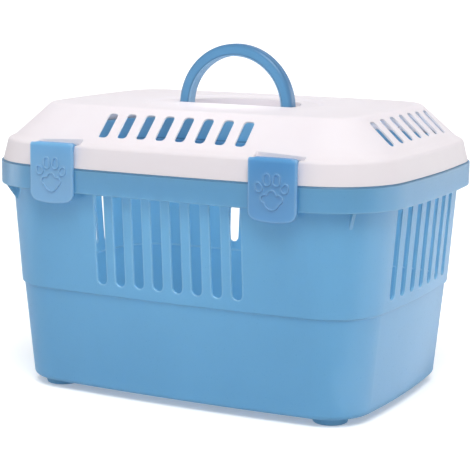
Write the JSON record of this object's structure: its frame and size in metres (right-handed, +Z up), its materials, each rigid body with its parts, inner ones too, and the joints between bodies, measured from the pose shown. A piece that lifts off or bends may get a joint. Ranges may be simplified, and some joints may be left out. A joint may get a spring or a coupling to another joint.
{
  "type": "pet carrier",
  "caption": "Slotted plastic pet carrier: deep rounded tub, domed slotted lid, folding ring carry handle and swing clips over the rim.",
  "frame": {"origin": "centre of the footprint, on the surface that the four feet stand on", "axes": "+X along the long side, +Y from the front to the back, +Z up through the carry handle"},
  "size_m": [0.45, 0.3304, 0.3542],
  "materials": {
    "blue_tub": "satin",
    "white_lid": "satin",
    "blue_trim": "satin"
  },
  "bodies": {
    "tub": {"tub": "blue_tub"},
    "lid": {"lid": "white_lid"},
    "handle": {"carry_handle": "blue_trim"},
    "front_left_clip": {"clip_front_left": "blue_trim"},
    "front_right_clip": {"clip_front_right": "blue_trim"},
    "back_left_clip": {"clip_back_left": "blue_trim"},
    "back_right_clip": {"clip_back_right": "blue_trim"}
  },
  "joints": [
    {"name": "lid_lift", "type": "slide", "parent": "tub", "child": "lid", "axis": [0, 0, 1], "range_m": [0, 0.3]},
    {"name": "handle_fold", "type": "hinge", "parent": "lid", "child": "handle", "pos_m": [0, 0, 0.288], "axis": [-1, 0, 0], "range_deg": [0, 90]},
    {"name": "front_left_clip_swing", "type": "hinge", "parent": "lid", "child": "front_left_clip", "pos_m": [-0.1205, -0.14896, 0.255], "axis": [-1, 0, 0], "range_deg": [0, 80]},
    {"name": "front_right_clip_swing", "type": "hinge", "parent": "lid", "child": "front_right_clip", "pos_m": [0.1205, -0.14896, 0.255], "axis": [-1, 0, 0], "range_deg": [0, 80]},
    {"name": "back_left_clip_swing", "type": "hinge", "parent": "lid", "child": "back_left_clip", "pos_m": [-0.1205, 0.14896, 0.255], "axis": [1, 0, 0], "range_deg": [0, 80]},
    {"name": "back_right_clip_swing", "type": "hinge", "parent": "lid", "child": "back_right_clip", "pos_m": [0.1205, 0.14896, 0.255], "axis": [1, 0, 0], "range_deg": [0, 80]}
  ]
}
